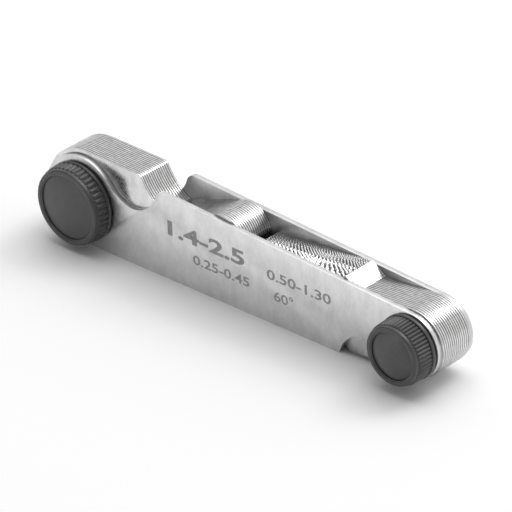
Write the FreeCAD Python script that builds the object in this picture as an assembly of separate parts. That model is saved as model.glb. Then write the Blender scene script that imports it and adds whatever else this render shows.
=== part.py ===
"""Metric thread pitch gauge with 28 leaves in a two-plate case.

The case is two flat side plates, taller at one end than at the other.  A pivot screw
crosses the case at each end and carries fourteen toothed leaves that lie between the
plates, tip to tip in the middle.  A knurled knob on the front of each screw clamps
that end's leaves.  The leaves swing out of the open top (big end) and the open bottom
(small end).

Frame: millimetres, +Z up, +X from the big end to the small end, knobs towards -Y.
The case stands on its straight bottom edges at z = 0, and x = y = 0 is the middle of
the object's bounding box.
"""
import FreeCAD
import Part
import math
import os
from collections import namedtuple

# ---- case ---------------------------------------------------------------------------
PIVOT_DISTANCE = 76.0        # between the two pivot screws, along X
PLATE_THICKNESS = 1.0
TAPER_DEG = 3.2              # fall of the case's top edge towards the small end
BIG_HEAD_RADIUS = 8.6        # round end of the plates, tangent to the bottom edge
SMALL_HEAD_RADIUS = 6.05     # round end of the plates, tangent to the top edge
SMALL_PIVOT_HEIGHT = 7.5     # small end's pivot above the bottom edge
BIG_SCOOP_RADIUS = 6.3       # finger scoop in the top edge
SMALL_SCOOP_RADIUS = 7.0     # finger scoop in the bottom edge
BIG_SCOOP_FLOOR = 2.45       # deepest point of the scoop, measured from the pivot
SMALL_SCOOP_FLOOR = 2.2
BIG_SCOOP_LIP = 1.8          # rounding where the scoop meets the straight edge
SMALL_SCOOP_LIP = 0.7

# ---- leaves -------------------------------------------------------------------------
LEAF_THICKNESS = 0.46
LEAF_GAP = 0.04              # between neighbouring leaves, and between leaf and plate
BIG_LEAF_HEAD_RADIUS = 8.9
SMALL_LEAF_HEAD_RADIUS = 6.3
BIG_LEAF_HEAD_LIFT = 0.45    # the head's centre stands this far from the pivot
SMALL_LEAF_HEAD_LIFT = 0.0
BIG_CATCH_HEIGHT = 9.3       # thumb catch on the leaf's back, above the pivot line
SMALL_CATCH_HEIGHT = 7.25
BIG_CATCH_REACH = 13.5       # corner of the catch, from the pivot towards the tip
SMALL_CATCH_REACH = 14.7
CATCH_CORNER_RADIUS = 1.3
CATCH_HOLLOW_RADIUS = 12.0   # hollow of the slope from the catch down to the trough
TROUGH_REACH = 18.9
TROUGH_HEIGHT = 3.6
TROUGH_RADIUS = 1.2
NOSE_GAP = 0.5               # between the noses of two leaves that lie tip to tip
NOSE_RADIUS = 4.6
BIG_NOSE_HEIGHT = 3.9        # centre of the rounded nose above the pivot line
SMALL_NOSE_HEIGHT = 2.8
TIP_SETBACK = 1.25           # toothed corner of the tip, behind the nose
TIP_DROP = 4.75              # toothed corner of the tip, below the pivot line
SHOULDER_REACH = 15.2        # where the toothed edge begins
SHOULDER_DROP = 7.1
NECK_REACH = 12.3            # foot of the shoulder
NECK_DROP = 5.15

# ---- teeth --------------------------------------------------------------------------
BIG_END_PITCHES = (2.50, 2.00, 1.90, 1.80, 1.75, 1.70, 1.60, 1.50, 1.40,
                   0.45, 0.40, 0.35, 0.30, 0.25)          # front to back
SMALL_END_PITCHES = (1.30, 1.25, 1.20, 1.10, 1.00, 0.90, 0.85, 0.80, 0.75,
                     0.70, 0.65, 0.60, 0.55, 0.50)        # front to back
THREAD_ANGLE_DEG = 60.0
FLAT_TOOTH_PITCH = 1.35      # from this pitch up, crests and roots are cut flat
FLAT_SHARE = 1.0 / 8.0       # width of a crest or root flat, as a share of the pitch

# ---- pivot screws -------------------------------------------------------------------
SCREW_RADIUS = 1.5
SCREW_CLEARANCE = 0.05       # radial, in every hole that the screw passes through
SCREW_HEAD_RADIUS = 3.4
SCREW_HEAD_HEIGHT = 0.9
SCREW_HEAD_EDGE = 0.3        # chamfer round the head
SCREW_SLOT_WIDTH = 0.8
SCREW_SLOT_DEPTH = 0.45

# ---- knobs --------------------------------------------------------------------------
BIG_KNOB_HEIGHT = 4.0        # from the plate to the rim
SMALL_KNOB_HEIGHT = 5.05
BIG_FLANGE_RADIUS = 7.6
SMALL_FLANGE_RADIUS = 5.95
BIG_RIM_RADIUS = 7.15
SMALL_RIM_RADIUS = 5.45
BIG_RIDGE_COUNT = 44
SMALL_RIDGE_COUNT = 52
FLANGE_THICKNESS = 0.7
RIM_THICKNESS = 0.75
RIM_CHAMFER = 0.25
RIM_WIDTH = 1.15             # from the rim's outside to the cap's recess
RIDGE_DEPTH = 0.3
GRIP_TAPER = 0.98            # radius of the grip at the rim, as a share of that at the flange
CAP_THICKNESS = 0.65         # of the cap's straight side
CAP_SINK = 0.35              # top of the cap's straight side, below the rim
BIG_DOME_HEIGHT = 0.6
SMALL_DOME_HEIGHT = 0.75
INSERT_RADIUS = 2.5
SCREW_END_GAP = 0.3          # between the screw's end and the cap
WASHER_THICKNESS = 0.4
WASHER_MARGIN = 1.2          # the washer is this much smaller than the flange

# ---- sizes that follow --------------------------------------------------------------
LEAVES_PER_END = len(BIG_END_PITCHES)
LEAF_STEP = LEAF_THICKNESS + LEAF_GAP
STACK_WIDTH = LEAVES_PER_END * LEAF_STEP + LEAF_GAP
CASE_WIDTH = STACK_WIDTH + 2 * PLATE_THICKNESS
HOLE_RADIUS = SCREW_RADIUS + SCREW_CLEARANCE
BIG_PIVOT_HEIGHT = BIG_HEAD_RADIUS
NOSE_REACH = (PIVOT_DISTANCE - NOSE_GAP) / 2
TAPER = math.radians(TAPER_DEG)
PIVOT_LINE_DEG = math.degrees(math.atan2(SMALL_PIVOT_HEIGHT - BIG_PIVOT_HEIGHT, PIVOT_DISTANCE))

BIG_REACH = max(BIG_HEAD_RADIUS, BIG_LEAF_HEAD_RADIUS, BIG_FLANGE_RADIUS)
SMALL_REACH = max(SMALL_HEAD_RADIUS, SMALL_LEAF_HEAD_RADIUS, SMALL_FLANGE_RADIUS)
FRONT_REACH = max(BIG_KNOB_HEIGHT - CAP_SINK + BIG_DOME_HEIGHT,
                  SMALL_KNOB_HEIGHT - CAP_SINK + SMALL_DOME_HEIGHT,
                  BIG_KNOB_HEIGHT,
                  SMALL_KNOB_HEIGHT)
BIG_X = (BIG_REACH - SMALL_REACH - PIVOT_DISTANCE) / 2
SMALL_X = BIG_X + PIVOT_DISTANCE
FRONT_Y = (FRONT_REACH - CASE_WIDTH - SCREW_HEAD_HEIGHT) / 2     # front plate's outer face
BACK_Y = FRONT_Y + CASE_WIDTH                                    # back plate's outer face

End = namedtuple("End", "name x height turn_deg pitches head_radius head_lift catch_height "
                        "catch_reach nose_height knob_height flange_radius rim_radius ridges "
                        "dome_height")
BIG_END = End("big", BIG_X, BIG_PIVOT_HEIGHT, PIVOT_LINE_DEG, BIG_END_PITCHES,
              BIG_LEAF_HEAD_RADIUS, BIG_LEAF_HEAD_LIFT, BIG_CATCH_HEIGHT, BIG_CATCH_REACH,
              BIG_NOSE_HEIGHT, BIG_KNOB_HEIGHT, BIG_FLANGE_RADIUS, BIG_RIM_RADIUS,
              BIG_RIDGE_COUNT, BIG_DOME_HEIGHT)
SMALL_END = End("small", SMALL_X, SMALL_PIVOT_HEIGHT, PIVOT_LINE_DEG + 180, SMALL_END_PITCHES,
                SMALL_LEAF_HEAD_RADIUS, SMALL_LEAF_HEAD_LIFT, SMALL_CATCH_HEIGHT,
                SMALL_CATCH_REACH, SMALL_NOSE_HEIGHT, SMALL_KNOB_HEIGHT, SMALL_FLANGE_RADIUS,
                SMALL_RIM_RADIUS, SMALL_RIDGE_COUNT, SMALL_DOME_HEIGHT)


# ---- plane geometry: points are (x, z) pairs ----------------------------------------
def vector(point):
    """The 3-D point in the plane y = 0."""
    return FreeCAD.Vector(point[0], 0, point[1])


def polar(centre, radius, angle):
    return (centre[0] + radius * math.cos(angle), centre[1] + radius * math.sin(angle))


def direction(start, end):
    """Angle of the way from start to end."""
    return math.atan2(end[1] - start[1], end[0] - start[0])


def between(start, end, share):
    return (start[0] + share * (end[0] - start[0]), start[1] + share * (end[1] - start[1]))


def tangent_point(point, centre, radius, side):
    """Where a line from the point touches the circle; side is +1 or -1."""
    spread = math.acos(radius / math.dist(point, centre))
    return polar(centre, radius, direction(centre, point) + side * spread)


def line(start, end):
    return Part.LineSegment(vector(start), vector(end)).toShape()


def arc(start, middle, end):
    return Part.Arc(vector(start), vector(middle), vector(end)).toShape()


def polyline(points):
    return [line(start, end) for start, end in zip(points, points[1:])]


def extrude(edges, thickness):
    """Solid on the closed outline, reaching from y = 0 to y = thickness."""
    face = Part.Face(Part.Wire(edges))
    return face.extrude(FreeCAD.Vector(0, thickness, 0))


def cylinder(radius, start_y, end_y, x=0.0, z=0.0):
    start = FreeCAD.Vector(x, start_y, z)
    return Part.makeCylinder(radius, end_y - start_y, start, FreeCAD.Vector(0, 1, 0))


def round_corner(solid, corner, radius):
    """Fillet the edge that runs along Y through the corner."""
    edges = [edge for edge in solid.Edges
             if all(math.dist((v.X, v.Z), corner) < 1e-4 for v in edge.Vertexes)]
    return solid.makeFillet(radius, edges)


# ---- case ---------------------------------------------------------------------------
def scoop_centre(head_radius, scoop_radius, scoop_floor):
    """Scoop's centre seen from the pivot; the scoop flows smoothly out of the head."""
    height = scoop_floor + scoop_radius
    return (math.sqrt((head_radius + scoop_radius) ** 2 - height ** 2), height)


def plate():
    """Side plate in the plane y = 0, reaching back by its thickness."""
    big = (BIG_X, BIG_PIVOT_HEIGHT)
    small = (SMALL_X, SMALL_PIVOT_HEIGHT)

    reach, rise = scoop_centre(BIG_HEAD_RADIUS, BIG_SCOOP_RADIUS, BIG_SCOOP_FLOOR)
    top_scoop = (big[0] + reach, big[1] + rise)
    reach, rise = scoop_centre(SMALL_HEAD_RADIUS, SMALL_SCOOP_RADIUS, SMALL_SCOOP_FLOOR)
    bottom_scoop = (small[0] - reach, small[1] - rise)

    big_bottom = (big[0], 0.0)
    half = math.sqrt(SMALL_SCOOP_RADIUS ** 2 - bottom_scoop[1] ** 2)
    bottom_corner = (bottom_scoop[0] - half, 0.0)
    small_join = polar(small, SMALL_HEAD_RADIUS, direction(small, bottom_scoop))
    small_top = polar(small, SMALL_HEAD_RADIUS, math.pi / 2 - TAPER)

    # the top edge passes the top scoop's centre at this distance
    offset = ((top_scoop[0] - small_top[0]) * math.sin(TAPER)
              + (top_scoop[1] - small_top[1]) * math.cos(TAPER))
    top_corner = polar(top_scoop, BIG_SCOOP_RADIUS, -TAPER - math.asin(offset / BIG_SCOOP_RADIUS))
    big_join = polar(big, BIG_HEAD_RADIUS, direction(big, top_scoop))

    bottom_mid = polar(bottom_scoop, SMALL_SCOOP_RADIUS, math.pi / 2)
    top_mid = polar(top_scoop, BIG_SCOOP_RADIUS, -math.pi / 2)
    outline = [
        line(big_bottom, bottom_corner),
        arc(bottom_corner, bottom_mid, small_join),
        arc(small_join, (small[0] + SMALL_HEAD_RADIUS, small[1]), small_top),
        line(small_top, top_corner),
        arc(top_corner, top_mid, big_join),
        arc(big_join, (big[0] - BIG_HEAD_RADIUS, big[1]), big_bottom),
    ]
    solid = extrude(outline, PLATE_THICKNESS)
    solid = round_corner(solid, top_corner, BIG_SCOOP_LIP)
    solid = round_corner(solid, bottom_corner, SMALL_SCOOP_LIP)
    for x, z in (big, small):
        solid = solid.cut(cylinder(HOLE_RADIUS, -1, PLATE_THICKNESS + 1, x, z))
    return solid


def at_y(solid, y):
    return solid.translated(FreeCAD.Vector(0, y, 0))


# ---- leaves -------------------------------------------------------------------------
def toothed_edge(start, end, pitch):
    """Points of the toothed edge from start to end; the crests lie on the straight line."""
    length = math.dist(start, end)
    angle = direction(start, end)
    count = int(length / pitch)
    flat = FLAT_SHARE * pitch if pitch >= FLAT_TOOTH_PITCH else 0.0
    flank = pitch / 2 - flat
    depth = flank / math.tan(math.radians(THREAD_ANGLE_DEG / 2))

    def at(along, inward):
        return polar(polar(start, along, angle), inward, angle + math.pi / 2)

    points = [start]
    along = (length - count * pitch) / 2
    for _ in range(count):
        groove = [at(along + flat / 2, 0), at(along + flat / 2 + flank, depth)]
        if flat:
            groove.append(at(along + flat / 2 + flank + flat, depth))
            groove.append(at(along + pitch - flat / 2, 0))
        points += groove
        along += pitch
    if not flat:
        points.append(at(along, 0))
    points.append(end)
    return points


def leaf(end, pitch):
    """Leaf about its pivot at the origin: tip towards +X, thumb catch up, teeth down."""
    head = (0.0, end.head_lift)
    nose = (NOSE_REACH - NOSE_RADIUS, end.nose_height)
    catch = (end.catch_reach, end.catch_height)
    trough = (TROUGH_REACH, TROUGH_HEIGHT)
    neck = (NECK_REACH, -NECK_DROP)
    shoulder = (SHOULDER_REACH, -SHOULDER_DROP)
    tip = (NOSE_REACH - TIP_SETBACK, -TIP_DROP)

    head_bottom = tangent_point(neck, head, end.head_radius, -1)
    head_top = tangent_point(catch, head, end.head_radius, 1)
    nose_front = tangent_point(tip, nose, NOSE_RADIUS, 1)
    nose_back = tangent_point(trough, nose, NOSE_RADIUS, -1)
    nose_middle = polar(nose, NOSE_RADIUS, (direction(nose, nose_front) + direction(nose, nose_back)) / 2)

    chord = math.dist(trough, catch)
    sagitta = CATCH_HOLLOW_RADIUS - math.sqrt(CATCH_HOLLOW_RADIUS ** 2 - (chord / 2) ** 2)
    hollow = polar(between(trough, catch, 0.5), sagitta, direction(trough, catch) + math.pi / 2)

    outline = [line(head_bottom, neck), line(neck, shoulder)]
    outline += polyline(toothed_edge(shoulder, tip, pitch))
    outline += [
        line(tip, nose_front),
        arc(nose_front, nose_middle, nose_back),
        line(nose_back, trough),
        arc(trough, hollow, catch),
        line(catch, head_top),
        arc(head_top, (-end.head_radius, end.head_lift), head_bottom),
    ]
    solid = extrude(outline, LEAF_THICKNESS)
    solid = round_corner(solid, catch, CATCH_CORNER_RADIUS)
    solid = round_corner(solid, trough, TROUGH_RADIUS)
    return solid.cut(cylinder(HOLE_RADIUS, -1, LEAF_THICKNESS + 1))


def leaf_name(pitch):
    return "leaf_" + f"{pitch:.2f}".replace(".", "_")


def leaf_set(end):
    """All the leaves of one end, by name, in their places between the plates."""
    leaves = {}
    for index, pitch in enumerate(end.pitches):
        solid = leaf(end, pitch)
        solid.rotate(FreeCAD.Vector(0, 0, 0), FreeCAD.Vector(0, 1, 0), -end.turn_deg)
        y = FRONT_Y + PLATE_THICKNESS + LEAF_GAP + index * LEAF_STEP
        solid.translate(FreeCAD.Vector(end.x, y, end.height))
        leaves[leaf_name(pitch)] = solid
    return leaves


# ---- screws and knobs ---------------------------------------------------------------
# Each is built on the Y axis with the front plate's outer face at y = 0, so that the
# knob reaches towards -Y, and is then moved to its end of the case.
def recess_floor(end):
    """Depth, from the plate, of the floor that the cap rests on."""
    return end.knob_height - CAP_SINK - CAP_THICKNESS


def pivot_screw(end):
    tail = recess_floor(end) - SCREW_END_GAP
    head = cylinder(SCREW_HEAD_RADIUS, CASE_WIDTH, CASE_WIDTH + SCREW_HEAD_HEIGHT)
    rim = [edge for edge in head.Edges
           if len(edge.Vertexes) == 1 and edge.BoundBox.YMin > CASE_WIDTH + SCREW_HEAD_HEIGHT / 2]
    head = head.makeChamfer(SCREW_HEAD_EDGE, rim)
    slot_floor = CASE_WIDTH + SCREW_HEAD_HEIGHT - SCREW_SLOT_DEPTH
    slot_start = FreeCAD.Vector(-SCREW_HEAD_RADIUS - 1, slot_floor, -SCREW_SLOT_WIDTH / 2)
    slot = Part.makeBox(2 * SCREW_HEAD_RADIUS + 2, SCREW_HEAD_HEIGHT, SCREW_SLOT_WIDTH, slot_start)
    shank = cylinder(SCREW_RADIUS, -tail, CASE_WIDTH + SCREW_HEAD_HEIGHT - SCREW_SLOT_DEPTH)
    return head.cut(slot).fuse(shank).removeSplitter()


def washer(end):
    ring = cylinder(end.flange_radius - WASHER_MARGIN, -WASHER_THICKNESS, 0)
    return ring.cut(cylinder(HOLE_RADIUS, -WASHER_THICKNESS - 1, 1))


def insert(end):
    """Brass bush that is moulded into the knob and runs on the screw."""
    bush = cylinder(INSERT_RADIUS, -recess_floor(end), -WASHER_THICKNESS)
    return bush.cut(cylinder(HOLE_RADIUS, -end.knob_height, 0))


def ridge_points(radius, depth, count, y):
    """Corners of the grip's section: a crest and a root for each ridge."""
    points = []
    for index in range(2 * count):
        x, z = polar((0, 0), radius - depth * (index % 2), index * math.pi / count)
        points.append(FreeCAD.Vector(x, y, z))
    return points


def flat_face(corners):
    return Part.Face(Part.makePolygon(corners + corners[:1]))


def grip(end, back_y, front_y):
    """Ridged band that narrows towards the rim; every flank of a ridge is flat."""
    crest = end.rim_radius + RIDGE_DEPTH
    front = ridge_points(crest, RIDGE_DEPTH, end.ridges, front_y)
    back = ridge_points(crest / GRIP_TAPER, RIDGE_DEPTH / GRIP_TAPER, end.ridges, back_y)
    faces = [flat_face(front), flat_face(back)]
    for index in range(len(front)):
        faces.append(flat_face([back[index - 1], back[index], front[index], front[index - 1]]))
    solid = Part.makeSolid(Part.makeShell(faces))
    if solid.Volume < 0:
        solid.reverse()
    return solid


def knob(end):
    """Knob body: smooth flange, ridged grip, rim, recess for the cap."""
    flange_front = -WASHER_THICKNESS - FLANGE_THICKNESS
    rim_back = -end.knob_height + RIM_THICKNESS
    flange = cylinder(end.flange_radius, flange_front, -WASHER_THICKNESS)
    recess_radius = end.rim_radius - RIM_WIDTH
    rim = cylinder(end.rim_radius, -end.knob_height, rim_back)
    rim = rim.cut(cylinder(recess_radius, -end.knob_height - 1, rim_back + 1))
    edges = [edge for edge in rim.Edges
             if len(edge.Vertexes) == 1 and edge.BoundBox.YMax < -end.knob_height + RIM_THICKNESS / 2]
    rim = rim.makeChamfer(RIM_CHAMFER, edges)
    body = flange.fuse(grip(end, flange_front, rim_back))
    body = body.cut(cylinder(recess_radius, -end.knob_height - 1, -recess_floor(end)))
    body = body.cut(cylinder(INSERT_RADIUS, -end.knob_height - 1, 0))
    return body.fuse(rim).removeSplitter()


def cap(end):
    """Domed cap that closes the knob's front and hides the screw's end."""
    radius = end.rim_radius - RIM_WIDTH
    floor = -recess_floor(end)
    side_top = floor - CAP_THICKNESS
    profile = Part.Face(Part.Wire([
        Part.LineSegment(FreeCAD.Vector(0, floor, 0), FreeCAD.Vector(radius, floor, 0)).toShape(),
        Part.LineSegment(FreeCAD.Vector(radius, floor, 0), FreeCAD.Vector(radius, side_top, 0)).toShape(),
        dome_arc(radius, side_top, end.dome_height),
        Part.LineSegment(FreeCAD.Vector(0, side_top - end.dome_height, 0),
                         FreeCAD.Vector(0, floor, 0)).toShape(),
    ]))
    return profile.revolve(FreeCAD.Vector(0, 0, 0), FreeCAD.Vector(0, 1, 0), 360)


def dome_arc(radius, side_top, height):
    """Quarter section of the dome, from the cap's side to its centre."""
    ball = (radius ** 2 + height ** 2) / (2 * height)
    half = math.asin(radius / ball) / 2
    middle = FreeCAD.Vector(ball * math.sin(half), side_top - height + ball - ball * math.cos(half), 0)
    return Part.Arc(FreeCAD.Vector(radius, side_top, 0), middle,
                    FreeCAD.Vector(0, side_top - height, 0)).toShape()


def clamp_pieces(end):
    """The screw and the knob's pieces of one end, by name, in place."""
    pieces = {
        f"{end.name}_pivot_screw": pivot_screw(end),
        f"{end.name}_knob_washer": washer(end),
        f"{end.name}_knob": knob(end),
        f"{end.name}_knob_insert": insert(end),
        f"{end.name}_knob_cap": cap(end),
    }
    place = FreeCAD.Vector(end.x, FRONT_Y, end.height)
    return {name: piece.translated(place) for name, piece in pieces.items()}


def build():
    pieces = {
        "front_plate": at_y(plate(), FRONT_Y),
        "back_plate": at_y(plate(), BACK_Y - PLATE_THICKNESS),
    }
    for end in (BIG_END, SMALL_END):
        pieces.update(clamp_pieces(end))
        pieces.update(leaf_set(end))
    return pieces


def main():
    os.makedirs("parts", exist_ok=True)
    for name, piece in build().items():
        if len(piece.Solids) != 1 or not piece.isValid():
            raise ValueError(f"{name} is not one valid solid")
        piece.Solids[0].exportStep(f"parts/{name}.step")
        print(name, round(piece.Volume, 3))


main()
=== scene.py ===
"""Looks of a metric thread pitch gauge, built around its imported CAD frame.  All in metres."""
import math
import bmesh
import bpy
from mathutils import Matrix, Vector


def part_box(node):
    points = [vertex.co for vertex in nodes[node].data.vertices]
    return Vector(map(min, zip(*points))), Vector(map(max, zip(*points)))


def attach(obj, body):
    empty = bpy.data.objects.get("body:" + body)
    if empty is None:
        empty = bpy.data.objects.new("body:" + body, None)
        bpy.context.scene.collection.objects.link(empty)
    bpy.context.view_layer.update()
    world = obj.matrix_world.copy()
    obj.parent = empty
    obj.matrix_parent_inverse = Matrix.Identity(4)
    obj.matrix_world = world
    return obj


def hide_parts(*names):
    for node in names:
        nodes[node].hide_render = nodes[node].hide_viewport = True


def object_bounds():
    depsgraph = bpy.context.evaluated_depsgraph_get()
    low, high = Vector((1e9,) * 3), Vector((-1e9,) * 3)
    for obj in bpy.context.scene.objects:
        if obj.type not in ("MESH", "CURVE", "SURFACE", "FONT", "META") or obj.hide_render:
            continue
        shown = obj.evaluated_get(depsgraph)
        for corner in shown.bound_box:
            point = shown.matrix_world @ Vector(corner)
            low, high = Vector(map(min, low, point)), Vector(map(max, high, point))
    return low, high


MM = 0.001

# ---- camera: viewing angle on the object ---------------------------------------------
CAMERA_AZIMUTH = math.radians(43.17)
CAMERA_ELEVATION = math.radians(29.66)
CAMERA_ROLL = math.radians(-1.96)
CAMERA_DISTANCE = 823.99 * MM
CAMERA_LENS = 338.5
AIM_OFFSET = Vector((2.42, 0.22, 1.24)) * MM     # aim point, from the middle of the CAD box

# ---- light ---------------------------------------------------------------------------
LAMP_DISTANCE = 0.7
FLOOR_SIZE = 6.0
WORLD_FRONT = 0.16
WORLD_BACK = 0.86

# ---- rounded edges of the CAD pieces, and painted shade between the leaves ------------
WELD_DISTANCE = 0.0005 * MM
PLATE_EDGE = 0.09 * MM
LEAF_EDGE = 0.075 * MM
GAP_SHADE_WIDTH = 0.2                   # share of a leaf's thickness painted darker at each arris, as shade between the leaves
GAP_SHADE_TONE = 0.22                   # how bright the painted shade at the arrises stays
SCREW_EDGE = 0.08 * MM
WASHER_EDGE = 0.06 * MM
SMOOTH_ANGLE = math.radians(32)

# ---- knobs: sizes that the frame's boxes don't give ------------------------------------
GRIP_MARGIN = 0.3 * MM             # height of a ridge's crest above the rim
FLANGE_THICKNESS = 0.7 * MM
RIM_THICKNESS = 0.75 * MM
RIM_WIDTH = 1.15 * MM
BORE_RADIUS = 2.5 * MM
GRIP_TAPER = 0.98
STEPS_PER_RIDGE = 8
CAP_STEPS = 160
CAP_GAP = 0.07 * MM                # dark line between the cap and the rim
CAP_THICKNESS = 0.65 * MM          # the cap without its dome
RIDGES = {"big": 44, "small": 52}

# ---- markings --------------------------------------------------------------------------
MARK_DEPTH = 0.008 * MM
BIG_MARK_SIZE = 3.9 * MM
BIG_MARK_BOLD = 0.12 * MM
MARK_SIZE = 2.5 * MM
SMALL_MARK_SIZE = 2.6 * MM
MARK_BOLD = 0.05 * MM
ANGLE_MARK_BOLD = 0.04 * MM

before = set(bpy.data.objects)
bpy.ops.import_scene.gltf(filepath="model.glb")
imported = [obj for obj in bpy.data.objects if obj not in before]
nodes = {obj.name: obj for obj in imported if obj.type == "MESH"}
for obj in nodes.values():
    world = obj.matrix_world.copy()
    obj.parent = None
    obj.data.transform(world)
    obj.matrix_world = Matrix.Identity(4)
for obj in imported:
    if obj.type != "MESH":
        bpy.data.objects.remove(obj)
cad_low, cad_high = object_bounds()


# ---- materials ---------------------------------------------------------------------------
class Finish:
    """A material with one Principled shader, and short ways to add nodes to it."""

    def __init__(self, name, color, roughness, metallic=0.0, specular=0.5):
        self.material = bpy.data.materials.new(name)
        self.material.use_nodes = True
        self.tree = self.material.node_tree
        self.shader = self.tree.nodes["Principled BSDF"]
        self.shader.inputs["Base Color"].default_value = (*color, 1.0)
        self.shader.inputs["Roughness"].default_value = roughness
        self.shader.inputs["Metallic"].default_value = metallic
        self.shader.inputs["Specular IOR Level"].default_value = specular

    def add(self, kind, **settings):
        node = self.tree.nodes.new(kind)
        for key, value in settings.items():
            setattr(node, key, value)
        return node

    def link(self, source, target):
        self.tree.links.new(source, target)

    def place(self, scale):
        """The surface's place on its piece, stretched by scale along X, Y and Z."""
        coordinates = self.add("ShaderNodeTexCoord")
        mapping = self.add("ShaderNodeMapping")
        mapping.inputs["Scale"].default_value = scale
        self.link(coordinates.outputs["Object"], mapping.inputs["Vector"])
        return mapping.outputs["Vector"]

    def noise(self, scale, detail=3.0, roughness=0.5):
        """Cloudy value from 0 to 1; scale gives features per metre along X, Y and Z."""
        node = self.add("ShaderNodeTexNoise")
        node.inputs["Scale"].default_value = 1.0
        node.inputs["Detail"].default_value = detail
        node.inputs["Roughness"].default_value = roughness
        self.link(self.place(scale), node.inputs["Vector"])
        return node.outputs["Fac"]

    def spread(self, value, low, high, start=0.3, end=0.7):
        """Maps value from start..end to low..high."""
        node = self.add("ShaderNodeMapRange")
        node.inputs["From Min"].default_value = start
        node.inputs["From Max"].default_value = end
        node.inputs["To Min"].default_value = low
        node.inputs["To Max"].default_value = high
        self.link(value, node.inputs["Value"])
        return node.outputs["Result"]

    def combine(self, operation, first, second):
        node = self.add("ShaderNodeMath", operation=operation)
        for socket, value in zip(node.inputs, (first, second)):
            if isinstance(value, float):
                socket.default_value = value
            else:
                self.link(value, socket)
        return node.outputs[0]

    def shade(self, value, dark, light):
        """Colour between dark and light, by value, on the shader."""
        node = self.add("ShaderNodeMix", data_type="RGBA")
        node.inputs["A"].default_value = (*dark, 1.0)
        node.inputs["B"].default_value = (*light, 1.0)
        self.link(value, node.inputs["Factor"])
        self.link(node.outputs["Result"], self.shader.inputs["Base Color"])

    def painted_gap_shade(self, width, darkest):
        """1 on a blanked piece, and down to darkest along both arrises of its cut edges: painted shade
        for the dark lines between stacked leaves.
        """
        coordinates = self.add("ShaderNodeTexCoord")
        across = self.add("ShaderNodeSeparateXYZ")
        facing = self.add("ShaderNodeSeparateXYZ")
        self.link(coordinates.outputs["Generated"], across.inputs["Vector"])
        self.link(coordinates.outputs["Normal"], facing.inputs["Vector"])
        # painted shade: darker towards both faces of the piece, on its cut edges only
        middle = self.combine("ABSOLUTE", self.combine("SUBTRACT", across.outputs["Y"], 0.5), 0.0)
        shade_amount = self.spread(middle, 0.0, 1.0 - darkest, 0.5 - width, 0.5 - width * 0.5)
        cut = self.combine("LESS_THAN", self.combine("ABSOLUTE", facing.outputs["Y"], 0.0), 0.5)
        return self.combine("SUBTRACT", 1.0, self.combine("MULTIPLY", shade_amount, cut))

    def bump(self, height, distance, strength=1.0):
        node = self.add("ShaderNodeBump")
        node.inputs["Distance"].default_value = distance
        node.inputs["Strength"].default_value = strength
        self.link(height, node.inputs["Height"])
        self.link(node.outputs["Normal"], self.shader.inputs["Normal"])


def case_steel():
    """Tumbled stainless sheet: soft clouds and a fine upright grain."""
    finish = Finish("case_steel", (0.66, 0.66, 0.66), 0.36, metallic=1.0)
    clouds = finish.noise((420, 420, 230), detail=4.0, roughness=0.6)
    grain = finish.noise((3600, 3600, 1200), detail=2.0)
    mixed = finish.combine("ADD", finish.combine("MULTIPLY", clouds, 0.65),
                           finish.combine("MULTIPLY", grain, 0.35))
    finish.shade(finish.spread(mixed, 0.0, 1.0, 0.36, 0.64), (0.60, 0.60, 0.60), (0.74, 0.74, 0.74))
    finish.link(finish.spread(grain, 0.30, 0.44), finish.shader.inputs["Roughness"])
    finish.bump(mixed, 0.012 * MM)
    return finish.material


def leaf_steel():
    """Ground spring steel: streaks across the cut edges, with painted shade along their arrises for the
    dark lines between the leaves.
    """
    finish = Finish("leaf_steel", (0.7, 0.7, 0.7), 0.3, metallic=1.0)
    streaks = finish.noise((5200, 500, 5200), detail=2.0)
    clouds = finish.noise((500, 2300, 500), detail=2.0)
    mixed = finish.combine("ADD", finish.combine("MULTIPLY", clouds, 0.6),
                           finish.combine("MULTIPLY", streaks, 0.4))
    # random tone, times painted shade along the arrises of the cut edges
    tone_and_gap_shade = finish.combine("MULTIPLY", finish.spread(mixed, 0.72, 1.0, 0.33, 0.66),
                          finish.painted_gap_shade(GAP_SHADE_WIDTH, GAP_SHADE_TONE))
    finish.shade(tone_and_gap_shade, (0.0, 0.0, 0.0), (0.78, 0.78, 0.78))
    finish.link(finish.spread(streaks, 0.15, 0.28), finish.shader.inputs["Roughness"])
    finish.bump(streaks, 0.01 * MM)
    return finish.material


def turned_metal(name, dark, light, roughness):
    """Turned metal with a fine random tool mark."""
    finish = Finish(name, light, roughness, metallic=1.0)
    marks = finish.noise((2500, 2500, 2500), detail=3.0)
    finish.shade(finish.spread(marks, 0.0, 1.0), dark, light)
    finish.link(finish.spread(marks, roughness - 0.06, roughness + 0.08),
                finish.shader.inputs["Roughness"])
    finish.bump(marks, 0.006 * MM)
    return finish.material


def moulded_plastic(name, dark, light, roughness, grain_depth):
    """Dark satin plastic with a faint moulded grain."""
    finish = Finish(name, light, roughness)
    clouds = finish.noise((600, 600, 600), detail=3.0)
    grain = finish.noise((9000, 9000, 9000), detail=2.0)
    finish.shade(finish.spread(clouds, 0.0, 1.0), dark, light)
    finish.link(finish.spread(grain, roughness - 0.05, roughness + 0.07),
                finish.shader.inputs["Roughness"])
    finish.bump(grain, grain_depth)
    return finish.material


def etched_mark():
    """Dark etched numbers on the steel."""
    finish = Finish("etched_mark", (0.2, 0.2, 0.2), 0.6, metallic=0.7)
    grain = finish.noise((4200, 4200, 2200), detail=2.0)
    finish.shade(finish.spread(grain, 0.0, 1.0), (0.28, 0.28, 0.28), (0.38, 0.38, 0.38))
    return finish.material


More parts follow.
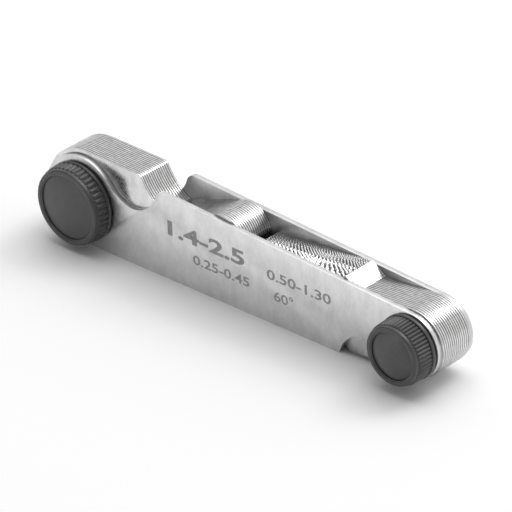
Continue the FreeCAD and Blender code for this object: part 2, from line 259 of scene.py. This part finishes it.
def floor_paper():
    """White paper: full white to the camera and in reflections, and plain to the light."""
    finish = Finish("floor_paper", (0.8, 0.8, 0.8), 1.0, specular=0.0)
    path = finish.add("ShaderNodeLightPath")
    seen = finish.combine("MAXIMUM", path.outputs["Is Camera Ray"], path.outputs["Is Glossy Ray"])
    seen = finish.combine("MAXIMUM", seen, path.outputs["Is Transmission Ray"])
    finish.shade(seen, (0.8, 0.8, 0.8), (1.0, 1.0, 1.0))
    return finish.material


# ---- meshes -------------------------------------------------------------------------------
def add_object(name, bm, material):
    """The finished mesh as an object, smooth apart from its sharp edges."""
    bmesh.ops.recalc_face_normals(bm, faces=bm.faces)
    mesh = bpy.data.meshes.new(name)
    bm.to_mesh(mesh)
    bm.free()
    piece = bpy.data.objects.new(name, mesh)
    bpy.context.scene.collection.objects.link(piece)
    mesh.materials.append(material)
    piece.modifiers.new("smooth", "NODES").node_group = smooth_by_angle
    return piece


def rounded(corners, steps=5):
    """Profile through the corners (radius, depth, rounding, ridge share), with each corner rounded."""
    profile = []
    count = len(corners)
    for index in range(count):
        radius, depth, rounding, share = corners[index]
        here = Vector((radius, depth))
        if not rounding:
            profile.append((radius, depth, share))
            continue
        back = (Vector(corners[index - 1][:2]) - here)
        ahead = (Vector(corners[(index + 1) % count][:2]) - here)
        reach = min(rounding / math.tan(back.angle(ahead) / 2), back.length * 0.49, ahead.length * 0.49)
        start = here + back.normalized() * reach
        end = here + ahead.normalized() * reach
        for step in range(steps + 1):
            part = step / steps
            point = start.lerp(here, part).lerp(here.lerp(end, part), part)
            profile.append((point.x, point.y, share))
    return profile


def revolve(name, profile, centre, segments, ridge_height, ridges, material):
    """Closed profile turned about the Y axis through centre, with ridges along the axis."""
    bm = bmesh.new()
    rings = []
    for radius, depth, share in profile:
        ring = []
        for index in range(segments):
            angle = 2 * math.pi * index / segments
            crest = abs(math.cos(angle * ridges / 2)) if ridges else 0.0
            reach = radius + share * ridge_height * crest
            ring.append(bm.verts.new((centre.x + reach * math.cos(angle), centre.y + depth,
                                      centre.z + reach * math.sin(angle))))
        rings.append(ring)
    for ring, after in zip(rings, rings[1:] + rings[:1]):
        for index in range(segments):
            bm.faces.new((ring[index - 1], ring[index], after[index], after[index - 1]))
    return add_object(name, bm, material)


def dome(name, radius, side_top, floor, height, centre, segments, material):
    """Domed cap: flat floor, straight side with a rounded edge, spherical front."""
    bm = bmesh.new()
    ball = (radius ** 2 + height ** 2) / (2 * height)
    edge = math.asin(radius / ball)
    rows = 24
    profile = [(radius, floor), (radius, side_top)]
    for row in range(1, rows):
        angle = edge * (1 - row / rows)
        profile.append((ball * math.sin(angle), side_top - height + ball - ball * math.cos(angle)))
    rings = []
    for reach, depth in profile:
        rings.append([bm.verts.new((centre.x + reach * math.cos(2 * math.pi * i / segments),
                                    centre.y + depth,
                                    centre.z + reach * math.sin(2 * math.pi * i / segments)))
                      for i in range(segments)])
    for ring, after in zip(rings, rings[1:]):
        for i in range(segments):
            bm.faces.new((ring[i - 1], ring[i], after[i], after[i - 1]))
    for ring, depth in ((rings[0], floor), (rings[-1], side_top - height)):
        pole = bm.verts.new((centre.x, centre.y + depth, centre.z))
        for i in range(segments):
            bm.faces.new((ring[i - 1], ring[i], pole))
    return add_object(name, bm, material)


def make_smooth_group():
    """Modifier that shades smooth and keeps edges over SMOOTH_ANGLE sharp."""
    group = bpy.data.node_groups.new("smooth_by_angle", "GeometryNodeTree")
    group.interface.new_socket("Geometry", in_out="INPUT", socket_type="NodeSocketGeometry")
    group.interface.new_socket("Geometry", in_out="OUTPUT", socket_type="NodeSocketGeometry")
    start = group.nodes.new("NodeGroupInput")
    end = group.nodes.new("NodeGroupOutput")
    faces = group.nodes.new("GeometryNodeSetShadeSmooth")
    edges = group.nodes.new("GeometryNodeSetShadeSmooth")
    edges.domain = "EDGE"
    edges.inputs["Shade Smooth"].default_value = False
    angle = group.nodes.new("GeometryNodeInputMeshEdgeAngle")
    compare = group.nodes.new("FunctionNodeCompare")
    compare.operation = "GREATER_THAN"
    compare.inputs["B"].default_value = SMOOTH_ANGLE
    group.links.new(angle.outputs["Unsigned Angle"], compare.inputs["A"])
    group.links.new(start.outputs[0], faces.inputs["Geometry"])
    group.links.new(faces.outputs[0], edges.inputs["Geometry"])
    group.links.new(compare.outputs["Result"], edges.inputs["Selection"])
    group.links.new(edges.outputs[0], end.inputs[0])
    return group


smooth_by_angle = make_smooth_group()


def dress(node, material, edge):
    """CAD piece with its edges slightly broken, as a blanked or turned piece has them."""
    piece = nodes[node]
    piece.data.materials.clear()
    piece.data.materials.append(material)
    weld = piece.modifiers.new("weld", "WELD")
    weld.merge_threshold = WELD_DISTANCE
    bevel = piece.modifiers.new("edge", "BEVEL")
    bevel.width = edge
    bevel.segments = 2
    bevel.limit_method = "ANGLE"
    bevel.angle_limit = math.radians(25)
    bevel.harden_normals = False
    piece.modifiers.new("smooth", "NODES").node_group = smooth_by_angle
    return piece


# ---- knobs ----------------------------------------------------------------------------------
def make_knob(end, ridges, knob_material, cap_material):
    low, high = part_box(f"{end}_knob")
    cap_low, cap_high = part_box(f"{end}_knob_cap")
    centre = Vector(((low.x + high.x) / 2, 0, (low.z + high.z) / 2))
    flange = (high.x - low.x) / 2
    cap_radius = (cap_high.x - cap_low.x) / 2
    rim = cap_radius + RIM_WIDTH
    flange_front = high.y - FLANGE_THICKNESS
    rim_back = low.y + RIM_THICKNESS
    grip = rim / GRIP_TAPER
    corners = [
        (BORE_RADIUS, high.y, 0, 0),
        (flange, high.y, 0.12 * MM, 0),
        (flange, flange_front, 0.2 * MM, 0),
        (grip, flange_front - 0.02 * MM, 0, 0),
        (grip, flange_front - 0.1 * MM, 0, 0.8),
        (grip, flange_front - 0.22 * MM, 0, 1),
        (rim, rim_back + 0.3 * MM, 0, 1),
        (rim, rim_back + 0.12 * MM, 0, 0.75),
        (rim, rim_back, 0, 0),
        (rim, low.y, 0.34 * MM, 0),
        (cap_radius + 0.34 * MM, low.y, 0.1 * MM, 0),
        (cap_radius + 0.26 * MM, low.y + 0.12 * MM, 0.05 * MM, 0),
        (cap_radius + CAP_GAP, low.y + 0.14 * MM, 0.12 * MM, 0),
        (cap_radius + CAP_GAP, cap_high.y, 0, 0),
        (BORE_RADIUS, cap_high.y, 0, 0),
    ]
    body = revolve(f"{end}_knob_grip", rounded(corners), centre, ridges * STEPS_PER_RIDGE,
                   GRIP_MARGIN, ridges, knob_material)
    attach(body, f"{end}_knob")
    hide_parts(f"{end}_knob")
    dome_height = (cap_high.y - cap_low.y) - CAP_THICKNESS
    cap = dome(f"{end}_knob_dome", cap_radius, cap_low.y + dome_height, cap_high.y, dome_height,
               centre, CAP_STEPS, cap_material)
    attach(cap, f"{end}_knob")
    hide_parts(f"{end}_knob_cap")


# ---- markings ---------------------------------------------------------------------------------
def mark(name, text, size, left, baseline, face_y, body, material, stretch=1.0, bold=0.0):
    """Plain number etched on a face that looks towards -Y."""
    curve = bpy.data.curves.new(name, "FONT")
    curve.body = text
    curve.size = size
    curve.extrude = MARK_DEPTH
    curve.offset = bold
    curve.resolution_u = 4
    text_object = bpy.data.objects.new(name + "_text", curve)
    bpy.context.scene.collection.objects.link(text_object)
    bpy.context.view_layer.update()
    graph = bpy.context.evaluated_depsgraph_get()
    mesh = bpy.data.meshes.new_from_object(text_object.evaluated_get(graph))
    bpy.data.objects.remove(text_object)
    start = min(vertex.co.x for vertex in mesh.vertices)
    mesh.transform(Matrix.Translation((left, face_y, baseline))
                   @ Matrix.Rotation(math.pi / 2, 4, "X")
                   @ Matrix.Scale(stretch, 4, (1, 0, 0))
                   @ Matrix.Translation((-start, 0, 0)))
    mesh.materials.clear()
    mesh.materials.append(material)
    piece = bpy.data.objects.new(name, mesh)
    bpy.context.scene.collection.objects.link(piece)
    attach(piece, body)
    return piece


# ---- stage ------------------------------------------------------------------------------------
def make_floor():
    bpy.ops.mesh.primitive_plane_add(size=FLOOR_SIZE, location=(0, 0, cad_low.z))
    floor = bpy.context.object
    floor.name = "floor"
    floor.data.materials.append(floor_paper())


def make_world():
    """Surround that is bright behind the object and dim in front of it, white to the camera."""
    world = bpy.data.worlds.new("studio")
    bpy.context.scene.world = world
    world.use_nodes = True
    tree = world.node_tree
    tree.nodes.clear()
    output = tree.nodes.new("ShaderNodeOutputWorld")
    mixed = tree.nodes.new("ShaderNodeMixShader")
    seen = tree.nodes.new("ShaderNodeBackground")
    around = tree.nodes.new("ShaderNodeBackground")
    path = tree.nodes.new("ShaderNodeLightPath")
    coordinates = tree.nodes.new("ShaderNodeTexCoord")
    split = tree.nodes.new("ShaderNodeSeparateXYZ")
    behind = tree.nodes.new("ShaderNodeMapRange")
    behind.inputs["From Min"].default_value = -0.5
    behind.inputs["From Max"].default_value = 0.3
    behind.inputs["To Min"].default_value = WORLD_FRONT
    behind.inputs["To Max"].default_value = WORLD_BACK
    tree.links.new(coordinates.outputs["Generated"], split.inputs["Vector"])
    tree.links.new(split.outputs["Y"], behind.inputs["Value"])
    tree.links.new(behind.outputs["Result"], around.inputs["Strength"])
    tree.links.new(path.outputs["Is Camera Ray"], mixed.inputs["Fac"])
    tree.links.new(around.outputs["Background"], mixed.inputs[1])
    tree.links.new(seen.outputs["Background"], mixed.inputs[2])
    tree.links.new(mixed.outputs["Shader"], output.inputs["Surface"])
    seen.inputs["Color"].default_value = (1, 1, 1, 1)
    around.inputs["Color"].default_value = (1, 1, 1, 1)


def make_lamp(name, azimuth, elevation, width, height, power):
    """Soft rectangular lamp that looks at the object from the given direction."""
    data = bpy.data.lights.new(name, "AREA")
    data.shape = "RECTANGLE"
    data.size = width
    data.size_y = height
    data.energy = power
    lamp = bpy.data.objects.new(name, data)
    bpy.context.scene.collection.objects.link(lamp)
    away = Vector((math.cos(elevation) * math.cos(azimuth), math.cos(elevation) * math.sin(azimuth),
                   math.sin(elevation)))
    lamp.location = away * LAMP_DISTANCE
    lamp.rotation_mode = "QUATERNION"
    lamp.rotation_quaternion = away.to_track_quat("Z", "Y")


def make_camera():
    data = bpy.data.cameras.new("camera")
    data.lens = CAMERA_LENS
    data.clip_start = 0.05
    data.clip_end = 20
    camera = bpy.data.objects.new("camera", data)
    bpy.context.scene.collection.objects.link(camera)
    back = Vector((math.sin(CAMERA_AZIMUTH) * math.cos(CAMERA_ELEVATION),
                   -math.cos(CAMERA_AZIMUTH) * math.cos(CAMERA_ELEVATION),
                   math.sin(CAMERA_ELEVATION)))
    level = Vector((math.cos(CAMERA_AZIMUTH), math.sin(CAMERA_AZIMUTH), 0))
    right = math.cos(CAMERA_ROLL) * level + math.sin(CAMERA_ROLL) * back.cross(level)
    up = back.cross(right)
    turn = Matrix((right, up, back)).transposed().to_4x4()
    aim = (cad_low + cad_high) / 2 + AIM_OFFSET
    camera.matrix_world = Matrix.Translation(aim + back * CAMERA_DISTANCE) @ turn
    bpy.context.scene.camera = camera


# ---- the object ---------------------------------------------------------------------------------
steel = case_steel()
blade = leaf_steel()
screw = turned_metal("screw_steel", (0.5, 0.5, 0.5), (0.62, 0.62, 0.62), 0.32)
brass = turned_metal("insert_brass", (0.6, 0.44, 0.2), (0.78, 0.6, 0.3), 0.3)
knob_plastic = moulded_plastic("knob_plastic", (0.05, 0.05, 0.051), (0.068, 0.068, 0.069),
                               0.32, 0.008 * MM)
cap_plastic = moulded_plastic("cap_plastic", (0.062, 0.062, 0.063), (0.076, 0.076, 0.077),
                              0.36, 0.002 * MM)
black = moulded_plastic("washer_black", (0.012, 0.012, 0.012), (0.02, 0.02, 0.02),
                        0.5, 0.006 * MM)
etched = etched_mark()

for plate in ("front_plate", "back_plate"):
    dress(plate, steel, PLATE_EDGE)
leaves = sorted(name for name in nodes if name.startswith("leaf_"))
for leaf in leaves:
    dress(leaf, blade, LEAF_EDGE)
for end, ridges in RIDGES.items():
    dress(f"{end}_pivot_screw", screw, SCREW_EDGE)
    dress(f"{end}_knob_washer", black, WASHER_EDGE)
    dress(f"{end}_knob_insert", brass, WASHER_EDGE)
    make_knob(end, ridges, knob_plastic, cap_plastic)

plate_low, plate_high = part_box("front_plate")
mark("mark_big_coarse", "1.4-2.5", BIG_MARK_SIZE, -16.0 * MM, 9.1 * MM, plate_low.y, "case",
     etched, 1.8, BIG_MARK_BOLD)
mark("mark_big_fine", "0.25-0.45", MARK_SIZE, -10.2 * MM, 5.3 * MM, plate_low.y, "case",
     etched, 1.42, MARK_BOLD)
mark("mark_small", "0.50-1.30", SMALL_MARK_SIZE, 7.1 * MM, 8.7 * MM, plate_low.y, "case",
     etched, 1.5, MARK_BOLD)
mark("mark_angle", "60°", SMALL_MARK_SIZE, 8.6 * MM, 4.9 * MM, plate_low.y, "case",
     etched, 1.3, ANGLE_MARK_BOLD)

make_floor()
make_world()
make_lamp("top", math.radians(100), math.radians(80), 0.7, 0.7, 2.1)
make_lamp("right_back", math.radians(70), math.radians(50), 0.3, 0.3, 0.9)
make_lamp("left_front", math.radians(245), math.radians(6), 0.25, 0.18, 0.55)
make_camera()
bpy.context.scene.view_settings.view_transform = "Standard"
